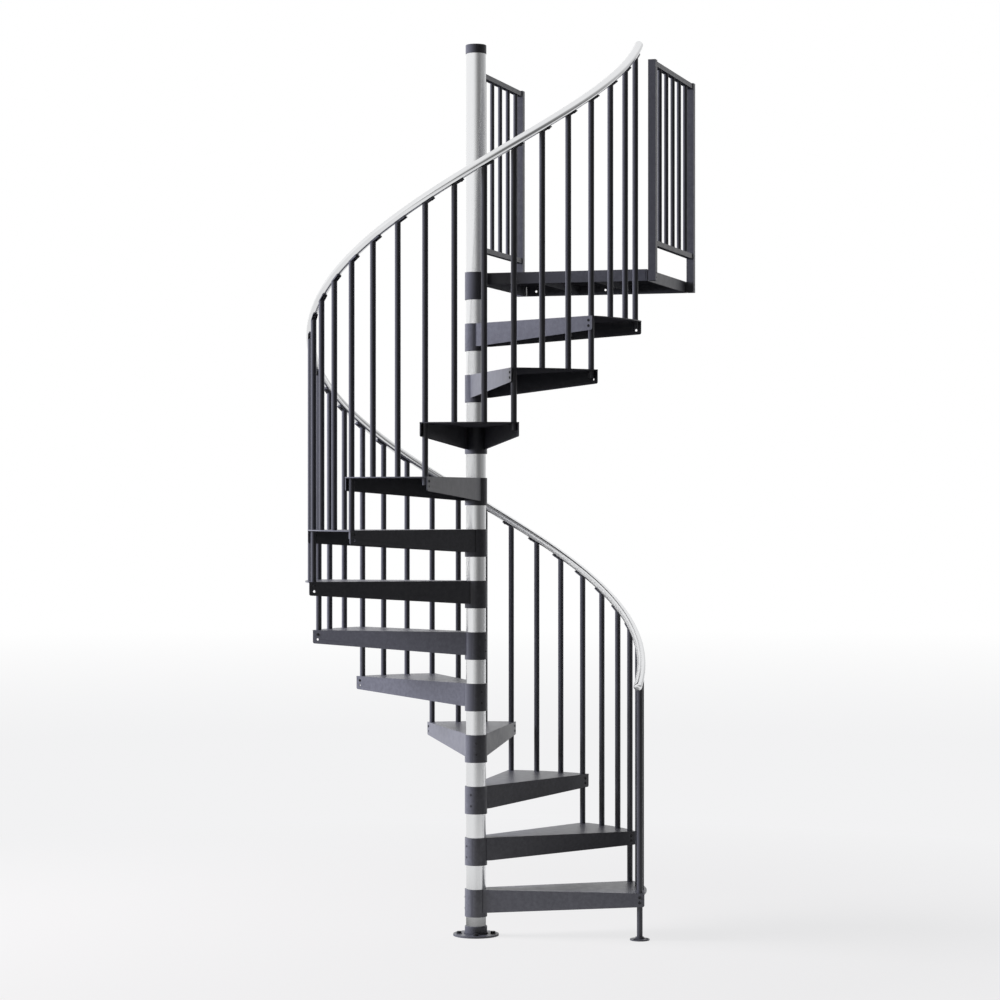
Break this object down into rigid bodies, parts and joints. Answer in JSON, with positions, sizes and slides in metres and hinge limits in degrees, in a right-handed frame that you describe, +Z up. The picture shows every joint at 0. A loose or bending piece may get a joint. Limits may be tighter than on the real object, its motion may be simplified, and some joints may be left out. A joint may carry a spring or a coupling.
{
  "type": "spiral staircase",
  "caption": "Spiral staircase with wedge treads round a silver pole, dark round balusters, a helical tube handrail and a square landing with two guard panels.",
  "frame": {"origin": "on the floor, under the base flange, on the pole's axis", "axes": "+Z up the pole, +X along the landing's front edge, +Y across the landing towards the upper floor"},
  "size_m": [1.5782, 1.573, 3.9795],
  "materials": {
    "dark_coat": "satin charcoal powder coat on steel",
    "pole_silver": "satin silver coat on steel tube",
    "rail_aluminium": "polished drawn tube"
  },
  "bodies": {
    "root": {"base_plate": "dark_coat", "center_pole": "pole_silver", "pole_cap": "dark_coat", "landing_platform": "dark_coat", "guard_panel_left": "dark_coat", "guard_panel_right": "dark_coat", "handrail": "rail_aluminium", "handrail_caps": "rail_aluminium", "baluster_foot": "dark_coat", "top_baluster": "dark_coat", "tread_01": "dark_coat", "balusters_01": "dark_coat", "tread_02": "dark_coat", "balusters_02": "dark_coat", "tread_03": "dark_coat", "balusters_03": "dark_coat", "tread_04": "dark_coat", "balusters_04": "dark_coat", "tread_05": "dark_coat", "balusters_05": "dark_coat", "tread_06": "dark_coat", "balusters_06": "dark_coat", "tread_07": "dark_coat", "balusters_07": "dark_coat", "tread_08": "dark_coat", "balusters_08": "dark_coat", "tread_09": "dark_coat", "balusters_09": "dark_coat", "tread_10": "dark_coat", "balusters_10": "dark_coat", "tread_11": "dark_coat", "balusters_11": "dark_coat", "tread_12": "dark_coat", "balusters_12": "dark_coat"}
  },
  "joints": []
}
